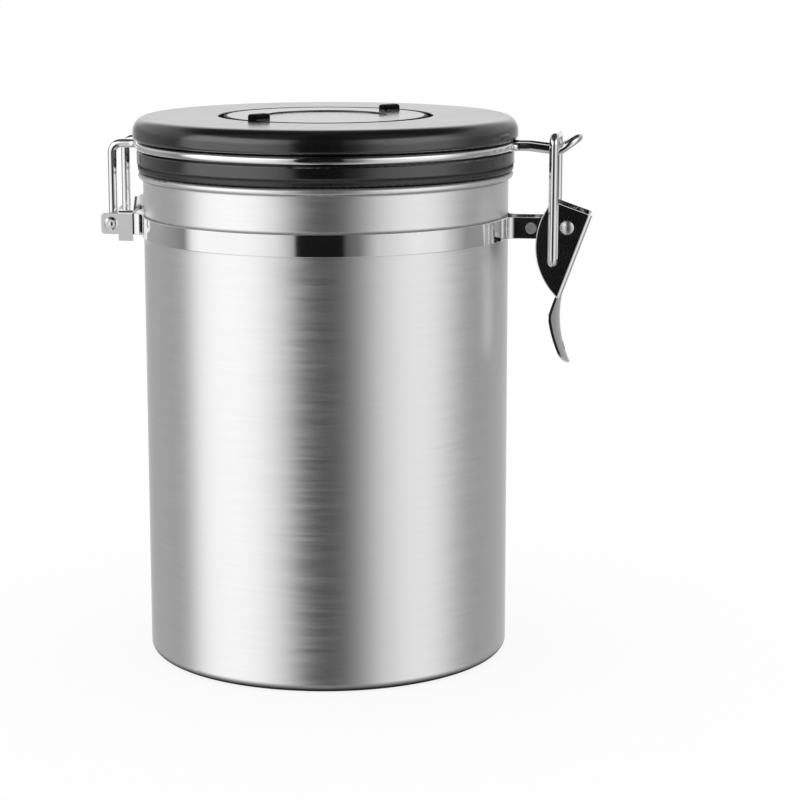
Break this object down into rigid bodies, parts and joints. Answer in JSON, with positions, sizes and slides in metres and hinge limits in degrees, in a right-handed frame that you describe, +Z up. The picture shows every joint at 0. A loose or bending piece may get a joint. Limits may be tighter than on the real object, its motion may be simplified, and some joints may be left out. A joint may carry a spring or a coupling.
{
  "type": "food canister",
  "caption": "Round steel food canister with a black clamp lid on a bent wire bail, a lever latch, a neck strap, a date dial on the lid and a one-way valve under it.",
  "frame": {"origin": "centre of the can's base, on the can's axis, on the face it stands on", "axes": "+Z up along the can's axis, hinge at -X, latch at +X"},
  "size_m": [0.1669, 0.1306, 0.1867],
  "materials": {
    "can_steel": "brushed round the can",
    "strap_steel": "polished strip",
    "wire_steel": "polished wire",
    "lever_steel": "polished sheet",
    "lid_plastic": "glossy black moulding",
    "inner_plastic": "satin black moulding",
    "seal_silicone": "matt silicone",
    "filter_felt": "pale felt"
  },
  "bodies": {
    "can": {"can_wall": "can_steel", "can_base": "can_steel", "strap_front": "strap_steel", "strap_back": "strap_steel", "hinge_clip": "strap_steel", "lever_pin": "strap_steel", "pivot_bush": "strap_steel", "latch_rivet": "strap_steel"},
    "lid": {"lid_cover": "lid_plastic", "lid_plate": "inner_plastic", "lid_gasket": "seal_silicone", "bail_wire": "wire_steel", "valve_seat": "inner_plastic", "valve_flap": "seal_silicone", "valve_filter": "filter_felt", "valve_cap": "inner_plastic"},
    "dial": {"dial_wheel": "lid_plastic", "dial_retainer": "inner_plastic"},
    "lever": {"latch_lever": "lever_steel"},
    "link": {"latch_link": "wire_steel"}
  },
  "joints": [
    {"name": "lid_hinge", "type": "hinge", "parent": "can", "child": "lid", "pos_m": [-0.0723, 0, 0.1479], "axis": [0, -1, 0], "range_deg": [0, 200]},
    {"name": "dial_turn", "type": "hinge", "parent": "lid", "child": "dial", "pos_m": [0, 0, 0.18], "axis": [0, 0, 1], "continuous": true},
    {"name": "lever_pivot", "type": "hinge", "parent": "can", "child": "lever", "pos_m": [0.0827, 0, 0.1484], "axis": [0, -1, 0], "range_deg": [0, 120]},
    {"name": "link_pivot", "type": "hinge", "parent": "lever", "child": "link", "pos_m": [0.0781, 0, 0.1366], "axis": [0, -1, 0], "range_deg": [-84, 0]}
  ],
  "couplings": [
    {"joint": "link_pivot", "follows": "lever_pivot", "ratio": -0.7}
  ]
}
